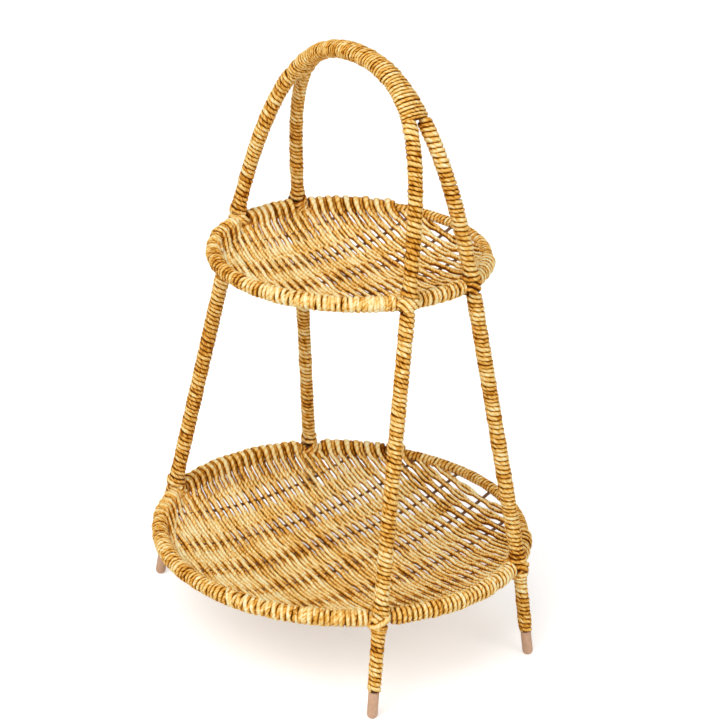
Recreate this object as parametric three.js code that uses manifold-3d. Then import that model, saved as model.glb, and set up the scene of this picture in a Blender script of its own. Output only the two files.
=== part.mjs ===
// Two-tier woven carrying basket on a wire frame.
// All sizes are in millimetres. The origin is on the floor below the middle of the basket.
// Z is up and X runs along the two arches, so the handle lies along X.

import * as THREE from 'three';
import { mergeVertices } from 'three/addons/utils/BufferGeometryUtils.js';
import Module from 'manifold-3d';

// Overall sizes
const totalHeight = 345;
const lowerTrayDiameter = 220;
const upperTrayDiameter = 160;
const lowerRimHeight = 56;
const upperRimHeight = 227;

// Wires
const frameWireDiameter = 3.4;
const rimWireDiameter = 3.4;
const stakeDiameter = 1.6;
const lowerStakeCount = 6;
const upperStakeCount = 5;
const lowerStakeEdgeGap = 31;
const upperStakeEdgeGap = 19;

// Where the legs meet the rims, as the angle from X at the basket's middle
const lowerLegAngle = 28;
const upperLegAngle = 16.4;

// How much of their splay the legs keep below the lower tray
const lowLegSplayShare = 0.72;

// The arches above the upper tray
const archStraightRise = 68;
const archShoulderReach = 53;
const archMergeShare = 0.8;
const handleWireSpacing = 4.8;

// Woven trays
const lowerTrayDepth = 17;
const upperTrayDepth = 14;
const trayCurvePower = 3.2;
const matThickness = 4.8;
const matRadiusShares = [0, 0.35, 0.6, 0.78, 0.91];
const matEdgeAngles = [222, 200, 180];

// Cord windings, measured over the turns where they say diameter
const lowerWoundRimDiameter = 10;
const upperWoundRimDiameter = 9;
const woundLegDiameter = 7.4;
const handlePadding = 1;
const handleCordThickness = 1.9;
const legLoops = 24;
const handleLoops = 22;
const turnGap = 0.8;
const turnRidgeShare = 0.6;

// Lashings at the joints
const lashingThickness = 2.2;
const lashingLength = 12;

// Foot caps
const footCapDiameter = 6;
const footCapLength = 15;
const footCapSole = 3;
const footFlatDepth = 0.6;
const footNoseSteps = 3;

// Gaps between pieces that fit together
const clearance = 0.3;
const sleeveClearance = 0.5;
const gripClearance = 0.6;

// Sides and steps of the faceted shapes
const wireSides = 6;
const stakeSides = 5;
const channelSides = 4;
const sleeveSides = 8;
const rimWireSegments = 54;
const rimStep = 10;
const matSegments = 28;
const archSteps = 14;
const stakeSteps = 7;
const legLoopSteps = 7;
const handleLoopSteps = 12;
const capSegments = 10;

const frameWireRadius = frameWireDiameter / 2;
const rimWireRadius = rimWireDiameter / 2;
const stakeRadius = stakeDiameter / 2;
const woundLegRadius = woundLegDiameter / 2;
const jointReach = frameWireRadius + rimWireRadius + clearance;
const handleHalfHeight = frameWireRadius + handlePadding + handleCordThickness;
const handleTop = totalHeight - handleHalfHeight;
const up = new THREE.Vector3(0, 0, 1);

const wasm = await Module();
wasm.setup();

const cordMaterial = new THREE.MeshStandardMaterial({ color: 0xdda64c, roughness: 0.7, metalness: 0 });
const matMaterial = new THREE.MeshStandardMaterial({ color: 0xe3b158, roughness: 0.75, metalness: 0 });
const wireMaterial = new THREE.MeshStandardMaterial({ color: 0x8a6a3c, roughness: 0.5, metalness: 0.6 });
const capMaterial = new THREE.MeshStandardMaterial({ color: 0xcda587, roughness: 0.6, metalness: 0 });

const basket = new THREE.Group();
basket.name = 'basket';

function addPiece(name, geometry, material) {
  const piece = new THREE.Mesh(geometry, material);
  piece.name = name;
  basket.add(piece);
}

// Solids for cutting

const sameVertexTolerance = 1e-4;

function solidOf(geometry) {
  const bare = geometry.clone();
  bare.deleteAttribute('normal');
  bare.deleteAttribute('uv');
  const merged = mergeVertices(bare, sameVertexTolerance);
  return new wasm.Manifold(new wasm.Mesh({
    numProp: 3,
    vertProperties: Float32Array.from(merged.attributes.position.array),
    triVerts: Uint32Array.from(merged.index.array),
  }));
}

function geometryOf(solid) {
  const mesh = solid.getMesh();
  const geometry = new THREE.BufferGeometry();
  geometry.setAttribute('position', new THREE.BufferAttribute(Float32Array.from(mesh.vertProperties), 3));
  geometry.setIndex(new THREE.BufferAttribute(Uint32Array.from(mesh.triVerts), 1));
  geometry.computeVertexNormals();
  return geometry;
}

// Routes and sections

const samePointTolerance = 0.01;

// A route through given points, which takes one extrusion step from each point to the next.
class Route extends THREE.Curve {
  constructor(points) {
    super();
    this.points = points;
    this.distances = [0];
    for (let i = 1; i < points.length; i++) {
      this.distances.push(this.distances[i - 1] + points[i].distanceTo(points[i - 1]));
    }
    this.length = this.distances[points.length - 1];
  }

  // t and u count points, not length, so that a step ends at each point
  getPoint(t, target = new THREE.Vector3()) {
    const place = t * (this.points.length - 1);
    const index = Math.min(Math.floor(place), this.points.length - 2);
    return target.lerpVectors(this.points[index], this.points[index + 1], place - index);
  }

  getPointAt(u, target) {
    return this.getPoint(u, target);
  }

  getTangentAt(u, target = new THREE.Vector3()) {
    return target.copy(this.directionAtPoint(Math.round(u * (this.points.length - 1))));
  }

  directionAtPoint(index) {
    const direction = new THREE.Vector3();
    const step = new THREE.Vector3();
    if (index > 0) {
      direction.add(step.subVectors(this.points[index], this.points[index - 1]).normalize());
    }
    if (index < this.points.length - 1) {
      direction.add(step.subVectors(this.points[index + 1], this.points[index]).normalize());
    }
    return direction.normalize();
  }

  // Place and direction at a distance along the route
  at(distance) {
    let index = 0;
    while (index < this.points.length - 2 && this.distances[index + 1] < distance) {
      index += 1;
    }
    const share = (distance - this.distances[index]) / (this.distances[index + 1] - this.distances[index]);
    const place = new THREE.Vector3().lerpVectors(this.points[index], this.points[index + 1], share);
    const direction = this.directionAtPoint(index).lerp(this.directionAtPoint(index + 1), share).normalize();
    return { place, direction };
  }

  // The part of the route between two distances
  stretch(from, to) {
    const isInside = (distance) => distance > from + samePointTolerance && distance < to - samePointTolerance;
    const inner = this.points.filter((point, i) => isInside(this.distances[i]));
    return new Route([this.at(from).place, ...inner, this.at(to).place]);
  }
}

// Points of a polygon with its corners on a circle of the given radius
function polygonIn(radius, sides) {
  const points = [];
  for (let i = 0; i < sides; i++) {
    const angle = i * 2 * Math.PI / sides;
    points.push(new THREE.Vector2(radius * Math.cos(angle), radius * Math.sin(angle)));
  }
  return points;
}

// Points of a polygon that goes round outside a circle of the given radius
function polygonRound(radius, sides) {
  return polygonIn(radius / Math.cos(Math.PI / sides), sides);
}

function sweep(section, route) {
  const steps = route.points.length - 1;
  return new THREE.ExtrudeGeometry(section, { steps, extrudePath: route, bevelEnabled: false });
}

function wireSection(radius, sides) {
  return new THREE.Shape(polygonIn(radius, sides));
}

function sleeveSection(outerRadius, boreRadius) {
  const section = new THREE.Shape(polygonIn(outerRadius, sleeveSides));
  section.holes.push(new THREE.Path(polygonRound(boreRadius, channelSides).reverse()));
  return section;
}

// Trays: the places that the frame, the mats and the rims share

function makeTray(sizes) {
  const woundRimRadius = sizes.woundRimDiameter / 2;
  const ringRadius = sizes.diameter / 2 - woundRimRadius;
  const legAngle = THREE.MathUtils.degToRad(sizes.legAngleDegrees);
  return { ...sizes, woundRimRadius, ringRadius, legAngle };
}

const lowerTray = makeTray({
  name: 'lower',
  diameter: lowerTrayDiameter,
  rimHeight: lowerRimHeight,
  woundRimDiameter: lowerWoundRimDiameter,
  depth: lowerTrayDepth,
  legAngleDegrees: lowerLegAngle,
  stakeCount: lowerStakeCount,
  stakeEdgeGap: lowerStakeEdgeGap,
});
const upperTray = makeTray({
  name: 'upper',
  diameter: upperTrayDiameter,
  rimHeight: upperRimHeight,
  woundRimDiameter: upperWoundRimDiameter,
  depth: upperTrayDepth,
  legAngleDegrees: upperLegAngle,
  stakeCount: upperStakeCount,
  stakeEdgeGap: upperStakeEdgeGap,
});
const trays = [lowerTray, upperTray];

// Height of the middle of the woven mat at a distance from the tray's middle
function dishHeight(tray, radius) {
  return tray.rimHeight - tray.depth * (1 - (radius / tray.ringRadius) ** trayCurvePower);
}

// Legs: sideX and sideY are 1 or -1 and say which quarter a leg stands in
const legs = [
  { name: 'front_left', sideX: -1, sideY: -1 },
  { name: 'back_left', sideX: -1, sideY: 1 },
  { name: 'front_right', sideX: 1, sideY: -1 },
  { name: 'back_right', sideX: 1, sideY: 1 },
];

// The middle of the leg wire where it passes outside a rim wire
function jointPlace(tray, leg) {
  const radius = tray.ringRadius + jointReach;
  return new THREE.Vector3(
    leg.sideX * radius * Math.cos(tray.legAngle),
    leg.sideY * radius * Math.sin(tray.legAngle),
    tray.rimHeight,
  );
}

// Direction of a leg between the trays
function legDirection(leg) {
  return jointPlace(upperTray, leg).sub(jointPlace(lowerTray, leg)).normalize();
}

function lowLegDirection(leg) {
  const direction = legDirection(leg);
  direction.x *= lowLegSplayShare;
  direction.y *= lowLegSplayShare;
  return direction.normalize();
}

// The middle of a leg at a height up to the lower tray
function lowLegPlace(leg, height) {
  const direction = lowLegDirection(leg);
  return jointPlace(lowerTray, leg).addScaledVector(direction, (height - lowerTray.rimHeight) / direction.z);
}

// Points of half an arch, from the upper tray's joint to the middle of the handle
function bezier(t, p0, p1, p2, p3) {
  const s = 1 - t;
  return p0 * s ** 3 + 3 * p1 * t * s ** 2 + 3 * p2 * t ** 2 * s + p3 * t ** 3;
}

function halfArch(leg) {
  const start = jointPlace(upperTray, leg);
  const rise = legDirection(leg).multiplyScalar(archStraightRise / legDirection(leg).z);
  const halfSpacing = leg.sideY * handleWireSpacing / 2;
  const points = [];
  for (let i = 0; i <= archSteps; i++) {
    const t = i / archSteps;
    const mergeT = Math.min(t / archMergeShare, 1);
    points.push(new THREE.Vector3(
      bezier(t, start.x, start.x + rise.x, leg.sideX * archShoulderReach, 0),
      bezier(mergeT, start.y, start.y + rise.y * archMergeShare, halfSpacing, halfSpacing),
      bezier(t, start.z, start.z + rise.z, handleTop, handleTop),
    ));
  }
  return points;
}

// Frame wire from the foot of one leg to the foot of the opposite one. Its first three points are the
// wire's end, the lower tray's joint and the upper tray's joint
const wireEndHeight = footCapSole + clearance;
const lowerJointIndex = 1;
const upperJointIndex = 2;
function frameRoute(startLeg, endLeg) {
  const half = (leg) => [lowLegPlace(leg, wireEndHeight), jointPlace(lowerTray, leg), ...halfArch(leg)];
  return new Route([...half(startLeg), ...half(endLeg).reverse().slice(1)]);
}

const legNamed = (name) => legs.find((leg) => leg.name === name);
const frontRoute = frameRoute(legNamed('front_right'), legNamed('front_left'));
const backRoute = frameRoute(legNamed('back_right'), legNamed('back_left'));
addPiece('arch_wire_front', sweep(wireSection(frameWireRadius, wireSides), frontRoute), wireMaterial);
addPiece('arch_wire_back', sweep(wireSection(frameWireRadius, wireSides), backRoute), wireMaterial);

// Rim wires
for (const tray of trays) {
  const ring = new THREE.TorusGeometry(tray.ringRadius, rimWireRadius, wireSides, rimWireSegments);
  ring.translate(0, 0, tray.rimHeight);
  addPiece(`${tray.name}_rim_wire`, ring, wireMaterial);
}

// Lashings: a bound lump that holds a leg wire against a rim wire

const lashingRadius = frameWireRadius + lashingThickness;

function lashingFrame(tray, leg) {
  const place = jointPlace(tray, leg);
  const along = legDirection(leg);
  const inward = new THREE.Vector3(-place.x, -place.y, 0).normalize();
  inward.addScaledVector(along, -inward.dot(along)).normalize();
  const across = new THREE.Vector3().crossVectors(along, inward);
  return { place, along, inward, across };
}

// A straight block with round ends in plan, grown by a gap where it cuts its neighbours
function lashingBlock(tray, leg, growth, length) {
  const radius = lashingRadius + growth;
  const section = new THREE.Shape();
  section.absarc(0, 0, radius, Math.PI / 2, 3 * Math.PI / 2, false);
  section.absarc(jointReach, 0, radius, -Math.PI / 2, Math.PI / 2, false);
  const block = new THREE.ExtrudeGeometry(section, { depth: length, bevelEnabled: false, curveSegments: 3 });
  block.translate(0, 0, -length / 2);
  const { place, along, inward, across } = lashingFrame(tray, leg);
  block.applyMatrix4(new THREE.Matrix4().makeBasis(inward, across, along).setPosition(place));
  return block;
}

// A straight tube-shaped cutter with its middle at a place
function straightCutter(place, direction, radius, length) {
  const cornerRadius = radius / Math.cos(Math.PI / channelSides);
  const cutter = new THREE.CylinderGeometry(cornerRadius, cornerRadius, length, channelSides);
  const turn = new THREE.Quaternion().setFromUnitVectors(new THREE.Vector3(0, 1, 0), direction);
  cutter.applyQuaternion(turn);
  cutter.translate(place.x, place.y, place.z);
  return cutter;
}

for (const tray of trays) {
  for (const leg of legs) {
    const { place, along } = lashingFrame(tray, leg);
    const radial = new THREE.Vector3(place.x, place.y, 0).normalize();
    const tangent = new THREE.Vector3().crossVectors(up, radial);
    const ringPlace = radial.clone().multiplyScalar(tray.ringRadius).setZ(tray.rimHeight);
    const legBore = frameWireRadius + clearance;
    const legCut = straightCutter(place, along, legBore, 2 * lashingLength);
    const lowLegCut = straightCutter(place, lowLegDirection(leg), legBore, 2 * lashingLength);
    const ringCut = straightCutter(ringPlace, tangent, rimWireRadius + sleeveClearance, 4 * lashingRadius);
    const lump = solidOf(lashingBlock(tray, leg, 0, lashingLength))
      .subtract(solidOf(legCut))
      .subtract(solidOf(lowLegCut))
      .subtract(solidOf(ringCut));
    addPiece(`${tray.name}_lashing_${leg.name}`, geometryOf(lump), cordMaterial);
  }
}

// Rim windings: four stretches of wound cord on each rim wire, from lashing to lashing

const rimStretches = [
  { name: 'right', from: legNamed('front_right'), to: legNamed('back_right') },
  { name: 'back', from: legNamed('back_right'), to: legNamed('back_left') },
  { name: 'left', from: legNamed('back_left'), to: legNamed('front_left') },
  { name: 'front', from: legNamed('front_left'), to: legNamed('front_right') },
];

function jointAngle(tray, leg) {
  const place = jointPlace(tray, leg);
  return Math.atan2(place.y, place.x);
}

// How far round the rim a winding stays from a joint, with the lean of the lashing on the leg
function windingSetback(tray, leg) {
  const place = jointPlace(tray, leg);
  const tangent = new THREE.Vector3(-place.y, place.x, 0).normalize();
  const along = legDirection(leg);
  const lean = Math.abs(along.dot(tangent) / along.z) * tray.woundRimRadius;
  return Math.asin((lashingRadius + clearance + lean) / (tray.ringRadius - tray.woundRimRadius));
}

for (const tray of trays) {
  const section = sleeveSection(tray.woundRimRadius, rimWireRadius + sleeveClearance);
  for (const stretch of rimStretches) {
    const start = jointAngle(tray, stretch.from) + windingSetback(tray, stretch.from);
    let end = jointAngle(tray, stretch.to) - windingSetback(tray, stretch.to);
    if (end < start) {
      end += 2 * Math.PI;
    }
    const steps = Math.ceil((end - start) / THREE.MathUtils.degToRad(rimStep));
    const points = [];
    for (let i = 0; i <= steps; i++) {
      const angle = start + (end - start) * i / steps;
      const x = tray.ringRadius * Math.cos(angle);
      const y = tray.ringRadius * Math.sin(angle);
      points.push(new THREE.Vector3(x, y, tray.rimHeight));
    }
    addPiece(`${tray.name}_rim_winding_${stretch.name}`, sweep(section, new Route(points)), cordMaterial);
  }
}

// Stakes: the cross wires that the cords of a mat pass over and under, from rim to rim along Y

// Whether a stake's end would come too near a lashing, whose inner end is round the rim wire
function nearLashing(tray, x, y) {
  const ringX = tray.ringRadius * Math.cos(tray.legAngle);
  const ringY = tray.ringRadius * Math.sin(tray.legAngle);
  const reach = lashingRadius + clearance + stakeDiameter;
  return Math.hypot(Math.abs(x) - ringX, y - ringY) < reach;
}

// How far out a stake's end may lie before it meets the wound rim
function stakeReach(tray) {
  return tray.ringRadius - tray.woundRimRadius - sleeveClearance - stakeRadius;
}

function stakeRoute(tray, x, extra) {
  let half = Math.sqrt(stakeReach(tray) ** 2 - x ** 2);
  while (nearLashing(tray, x, half)) {
    half -= stakeRadius;
  }
  const points = [];
  for (let i = 0; i <= stakeSteps; i++) {
    const y = half * Math.sin((i / stakeSteps - 0.5) * Math.PI);
    points.push(new THREE.Vector3(x, y, dishHeight(tray, Math.hypot(x, y))));
  }
  if (extra > 0) {
    const route = new Route(points);
    points.unshift(points[0].clone().addScaledVector(route.directionAtPoint(0), -extra));
    points.push(points[stakeSteps + 1].clone().addScaledVector(route.directionAtPoint(stakeSteps), extra));
  }
  return new Route(points);
}

function stakePlaces(tray) {
  const outermost = tray.ringRadius - tray.stakeEdgeGap;
  const places = [];
  for (let i = 0; i < tray.stakeCount; i++) {
    places.push(outermost * (2 * i / (tray.stakeCount - 1) - 1));
  }
  return places;
}

// Mats: a shallow woven dish that hugs the wound rim, with a channel for each stake

function matGeometry(tray) {
  const half = matThickness / 2;
  const hug = tray.woundRimRadius + sleeveClearance;
  const edge = [];
  for (const degrees of matEdgeAngles) {
    const angle = THREE.MathUtils.degToRad(degrees);
    edge.push(new THREE.Vector2(
      tray.ringRadius + hug * Math.cos(angle),
      tray.rimHeight + hug * Math.sin(angle),
    ));
  }
  const reach = tray.ringRadius - hug;
  const under = matRadiusShares.map((share) => new THREE.Vector2(
    share * reach, dishHeight(tray, share * reach) - half));
  const over = matRadiusShares.map((share) => new THREE.Vector2(
    share * reach, dishHeight(tray, share * reach) + half));
  const profile = [...under, ...edge, ...over.reverse()];
  const dish = new THREE.LatheGeometry(profile, matSegments);
  dish.rotateX(Math.PI / 2);
  return dish;
}

const notchLength = lashingLength + 2 * clearance;

for (const tray of trays) {
  let mat = solidOf(matGeometry(tray));
  for (const leg of legs) {
    mat = mat.subtract(solidOf(lashingBlock(tray, leg, clearance, notchLength)));
  }
  const channel = new THREE.Shape(polygonRound(stakeRadius + clearance, channelSides));
  stakePlaces(tray).forEach((x, i) => {
    mat = mat.subtract(solidOf(sweep(channel, stakeRoute(tray, x, tray.woundRimRadius))));
    const stake = sweep(wireSection(stakeRadius, stakeSides), stakeRoute(tray, x, 0));
    addPiece(`${tray.name}_stake_${i + 1}`, stake, wireMaterial);
  });
  addPiece(`${tray.name}_tray_mat`, geometryOf(mat), matMaterial);
}

// Wound cord as one unbroken flat tube. surface(distance, turn, height) gives the place at a distance
// along the core, at an angle round it and at a height over the core's own clearance.

function leastGap(rings, loopSteps) {
  let least = Infinity;
  for (let i = 0; i < rings.length; i++) {
    for (let j = i + Math.ceil(loopSteps / 2); j < rings.length; j++) {
      for (const corner of rings[i]) {
        for (const other of rings[j]) {
          least = Math.min(least, corner.distanceTo(other));
        }
      }
    }
  }
  return least;
}

function tubeOf(rings) {
  const corners = rings[0].length;
  const positions = rings.flat().flatMap((corner) => [corner.x, corner.y, corner.z]);
  const faces = [];
  for (let i = 0; i < rings.length - 1; i++) {
    for (let k = 0; k < corners; k++) {
      const a = i * corners + k;
      const b = i * corners + (k + 1) % corners;
      faces.push(a, a + corners, b, b, a + corners, b + corners);
    }
  }
  const last = (rings.length - 1) * corners;
  faces.push(0, 1, 2, 0, 2, 3);
  faces.push(last, last + 2, last + 1, last, last + 3, last + 2);
  const tube = new THREE.BufferGeometry();
  tube.setAttribute('position', new THREE.Float32BufferAttribute(positions, 3));
  tube.setIndex(faces);
  tube.computeVertexNormals();
  return tube;
}

function windingRings(surface, from, to, loops, loopSteps, thickness) {
  const pitch = (to - from + turnGap) / (loops + 1);
  const width = pitch - turnGap;
  const ridge = width * turnRidgeShare;
  const rings = [];
  for (let i = 0; i <= loops * loopSteps; i++) {
    const turn = -2 * Math.PI * i / loopSteps;
    const middle = from + width / 2 + pitch * i / loopSteps;
    rings.push([
      surface(middle - width / 2, turn, 0),
      surface(middle + width / 2, turn, 0),
      surface(middle + ridge / 2, turn, thickness),
      surface(middle - ridge / 2, turn, thickness),
    ]);
  }
  return rings;
}

// Both ends run straight on for one thickness of the cord
function withStraightEnds(rings, thickness) {
  const runOn = (ring, next) => {
    const onward = new THREE.Vector3().subVectors(ring[0], next[0]);
    const across = new THREE.Vector3().subVectors(ring[1], ring[0]).normalize();
    const outward = new THREE.Vector3().subVectors(ring[3], ring[0]).projectOnPlane(across).normalize();
    onward.projectOnPlane(across).projectOnPlane(outward).setLength(thickness);
    return ring.map((corner) => corner.clone().add(onward));
  };
  const first = runOn(rings[0], rings[1]);
  const last = runOn(rings[rings.length - 1], rings[rings.length - 2]);
  return [first, ...rings, last];
}

function addWinding(name, surface, from, to, loops, loopSteps, thickness) {
  const rings = windingRings(surface, from, to, loops, loopSteps, thickness);
  const gap = leastGap(rings, loopSteps);
  console.log(`${name}: ${loops} loops, least gap to itself ${gap.toFixed(2)} mm`);
  addPiece(name, tubeOf(withStraightEnds(rings, thickness)), cordMaterial);
}

// Leg windings: a low stretch, a middle stretch with its loops, and a stretch up the arch

const legCordThickness = woundLegRadius - frameWireRadius - clearance;
const plainSleeve = sleeveSection(woundLegRadius, frameWireRadius + clearance);
const jointSetback = lashingLength / 2 + clearance;

const shoulderSearchStep = 0.1;

// Distance along a frame wire at which the two wound wires meet at the shoulder
function shoulderDistance(route) {
  const spread = woundLegRadius + clearance / 2;
  let distance = route.distances[upperJointIndex];
  while (Math.abs(route.at(distance).place.y) > spread) {
    distance += shoulderSearchStep;
  }
  return distance;
}

for (const leg of legs) {
  const ahead = legNamed(leg.name.replace('left', 'right'));
  const forward = leg.sideY < 0 ? frontRoute : backRoute;
  const route = leg === ahead ? forward : new Route([...forward.points].reverse());
  const capTop = footCapLength + clearance - wireEndHeight / lowLegDirection(leg).z;
  const lowJoint = route.distances[lowerJointIndex];
  const highJoint = route.distances[upperJointIndex];
  const low = route.stretch(capTop, lowJoint - jointSetback);
  addPiece(`low_winding_${leg.name}`, sweep(plainSleeve, low), cordMaterial);
  const arch = route.stretch(highJoint + jointSetback, shoulderDistance(route));
  addPiece(`arch_winding_${leg.name}`, sweep(plainSleeve, arch), cordMaterial);

  const along = legDirection(leg);
  const side = new THREE.Vector3().crossVectors(up, along).normalize();
  const front = new THREE.Vector3().crossVectors(along, side);
  const bore = (frameWireRadius + clearance) / Math.cos(Math.PI / legLoopSteps);
  const surface = (distance, turn, height) => route.at(distance).place
    .addScaledVector(side, (bore + height) * Math.cos(turn))
    .addScaledVector(front, (bore + height) * Math.sin(turn));
  addWinding(`leg_winding_${leg.name}`, surface, lowJoint + jointSetback, highJoint - jointSetback,
    legLoops, legLoopSteps, legCordThickness);
}

// Handle winding: one cord wound round both arches from shoulder to shoulder

const handleStart = shoulderDistance(frontRoute);
const handleEnd = frontRoute.length - handleStart;
const shoulderGap = 2 * clearance;

function handleSurface(distance, turn, height) {
  const { place, direction } = frontRoute.at(distance);
  const halfSpread = Math.abs(place.y);
  const sideways = new THREE.Vector3(0, 1, 0);
  const flatDirection = direction.setY(0).normalize();
  const upward = new THREE.Vector3().crossVectors(flatDirection, sideways);
  const reachAcross = halfSpread + frameWireRadius + gripClearance + height;
  const reachUp = frameWireRadius + handlePadding + height;
  return place.setY(0)
    .addScaledVector(sideways, reachAcross * Math.cos(turn))
    .addScaledVector(upward, reachUp * Math.sin(turn));
}

addWinding('handle_winding', handleSurface, handleStart + shoulderGap, handleEnd - shoulderGap,
  handleLoops, handleLoopSteps, handleCordThickness);

// Foot caps: a round-nosed cap with a blind bore for the wire's end, flat where it stands

for (const leg of legs) {
  const radius = footCapDiameter / 2;
  const bore = (frameWireRadius + clearance) / Math.cos(Math.PI / capSegments);
  const nose = [];
  for (let i = 0; i <= footNoseSteps; i++) {
    const angle = i / footNoseSteps * Math.PI / 2;
    nose.push(new THREE.Vector2(radius * Math.sin(angle), radius * (1 - Math.cos(angle)) - footFlatDepth));
  }
  const profile = [
    ...nose,
    new THREE.Vector2(radius, footCapLength),
    new THREE.Vector2(bore, footCapLength),
    new THREE.Vector2(bore, footCapSole),
    new THREE.Vector2(0, footCapSole),
  ];
  const cap = new THREE.LatheGeometry(profile, capSegments);
  const capAxis = new THREE.Vector3(0, 1, 0);
  cap.applyQuaternion(new THREE.Quaternion().setFromUnitVectors(capAxis, lowLegDirection(leg)));
  const foot = lowLegPlace(leg, 0);
  cap.translate(foot.x, foot.y, 0);
  const floorCut = new THREE.BoxGeometry(4 * radius, 4 * radius, footCapLength);
  floorCut.translate(foot.x, foot.y, -footCapLength / 2);
  addPiece(`foot_cap_${leg.name}`, geometryOf(solidOf(cap).subtract(solidOf(floorCut))), capMaterial);
}

export default basket;
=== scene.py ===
# Two-tier woven storage basket: its cords, caps, floor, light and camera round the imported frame.
# Blender works in metres here. The dictionaries below give millimetres and degrees, as the part does.
import math
import random

import bmesh
import bpy
import numpy as np
from mathutils import Matrix, Vector


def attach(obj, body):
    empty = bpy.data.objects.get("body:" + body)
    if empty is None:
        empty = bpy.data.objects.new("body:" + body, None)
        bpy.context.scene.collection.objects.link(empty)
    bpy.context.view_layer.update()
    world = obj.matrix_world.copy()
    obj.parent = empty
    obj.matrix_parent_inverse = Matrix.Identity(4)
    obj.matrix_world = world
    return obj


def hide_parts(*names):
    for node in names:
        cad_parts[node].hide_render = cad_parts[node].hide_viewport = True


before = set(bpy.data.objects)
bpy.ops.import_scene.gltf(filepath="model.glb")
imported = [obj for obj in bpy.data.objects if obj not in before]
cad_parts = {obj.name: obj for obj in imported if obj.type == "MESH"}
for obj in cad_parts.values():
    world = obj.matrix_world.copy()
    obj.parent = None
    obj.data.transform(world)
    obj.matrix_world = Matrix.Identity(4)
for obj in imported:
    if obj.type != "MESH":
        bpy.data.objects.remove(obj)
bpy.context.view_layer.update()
print("frame loaded:", len(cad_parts), "nodes")

mm = 0.001

# Places that the cords share with the frame
basket = {
    "lower": {"ringRadius": 105.0, "rimHeight": 56.0, "depth": 17.0, "legAngle": 28.0},
    "upper": {"ringRadius": 75.5, "rimHeight": 227.0, "depth": 14.0, "legAngle": 16.4},
    "curvePower": 3.2,  # a higher one makes the trays flatter in the middle and steeper by the rim
    "jointReach": 3.7,  # from the rim wire's middle out to the leg wire's
    "lowSplayShare": 0.72,  # how much of their splay the legs keep below the lower tray
    "straightRise": 68.0,  # how far above the upper tray an arch keeps the leg's line
    "shoulderReach": 53.0,  # how far out from the middle it turns level
    "mergeShare": 0.8,  # the part of an arch after which its wire runs beside the other one
    "halfSpacing": 2.4,
    "handleMiddle": 340.4,
    "wireRadius": 1.7,
    "bendReach": 3.0,  # how far from the lower joint a leg has bent to its slope
    "frontTurn": 50.1,  # from -Y to the basket's front, as it stands in the photo
}
legs = {"front_left": (-1, -1), "back_left": (-1, 1), "front_right": (1, -1), "back_right": (1, 1)}
frontTurn = math.radians(basket["frontTurn"])
towardsFront = np.array([math.sin(frontTurn), -math.cos(frontTurn)])


def titleOf(leg):
    return "".join(word.title() for word in leg.split("_"))


def unit(vectors):
    return vectors / np.linalg.norm(vectors, axis=-1, keepdims=True)


def smoothStep(low, high, value):
    share = np.clip((value - low) / (high - low), 0.0, 1.0)
    return share * share * (3.0 - 2.0 * share)


def jointPoint(tray, leg):
    sizes = basket[tray]
    radius = sizes["ringRadius"] + basket["jointReach"]
    angle = math.radians(sizes["legAngle"])
    x, y = legs[leg]
    return np.array([x * radius * math.cos(angle), y * radius * math.sin(angle), sizes["rimHeight"]])


# How far a leg moves for each millimetre up, between the trays and below them
def legSlope(leg, below=False):
    slope = jointPoint("upper", leg) - jointPoint("lower", leg)
    slope = slope / slope[2]
    share = basket["lowSplayShare"] if below else 1.0
    return slope * np.array([share, share, 1.0])


def legPoint(leg, height):
    joint = jointPoint("lower", leg)
    return joint + legSlope(leg, below=height < joint[2]) * (height - joint[2])


def dishHeight(tray, radius):
    sizes = basket[tray]
    return sizes["rimHeight"] - sizes["depth"] * (1 - (radius / sizes["ringRadius"]) ** basket["curvePower"])


def bezier(t, p0, p1, p2, p3):
    s = 1 - t
    return p0 * s ** 3 + 3 * p1 * t * s ** 2 + 3 * p2 * t ** 2 * s + p3 * t ** 3


def archPoints(leg, steps=48):
    start = jointPoint("upper", leg)
    rise = legSlope(leg) * basket["straightRise"]
    halfSpacing = legs[leg][1] * basket["halfSpacing"]
    t = np.linspace(0, 1, steps + 1)
    merged = np.minimum(t / basket["mergeShare"], 1)
    return np.stack([
        bezier(t, start[0], start[0] + rise[0], legs[leg][0] * basket["shoulderReach"], 0),
        bezier(merged, start[1], start[1] + rise[1] * basket["mergeShare"], halfSpacing, halfSpacing),
        bezier(t, start[2], start[2] + rise[2], basket["handleMiddle"], basket["handleMiddle"]),
    ], axis=1)


# A route is a line of points with a side and an up direction at each. guide says roughly where the side is
def makeRoute(points, guide):
    points = np.array(points, float)
    steps = np.linalg.norm(np.diff(points, axis=0), axis=1)
    lengths = np.concatenate([[0], np.cumsum(steps)])
    along = unit(np.gradient(points, lengths, axis=0))
    guides = np.broadcast_to(np.array(guide, float), points.shape)
    side = unit(guides - along * np.sum(guides * along, axis=1, keepdims=True))
    return {"points": points, "lengths": lengths, "along": along, "side": side, "up": np.cross(along, side)}


def placesOn(route, distances):
    def at(key):
        return np.stack([np.interp(distances, route["lengths"], route[key][:, i]) for i in range(3)], axis=1)
    return at("points"), unit(at("along")), unit(at("side")), unit(at("up"))


def legRoute(leg):
    low, high, bend = basket["lower"]["rimHeight"], basket["upper"]["rimHeight"], basket["bendReach"]
    heights = (0, low - bend, low, low + bend, high - bend)
    return makeRoute(np.vstack([[legPoint(leg, height) for height in heights], archPoints(leg)]), (0, 1, 0))


def distanceAt(route, height):
    rising = route["points"][:len(route["points"]) // 2]
    return np.interp(height, rising[:, 2], route["lengths"][:len(rising)])


# Cords: each is a flat strip of faces that is rolled round the cord's own line

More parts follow.
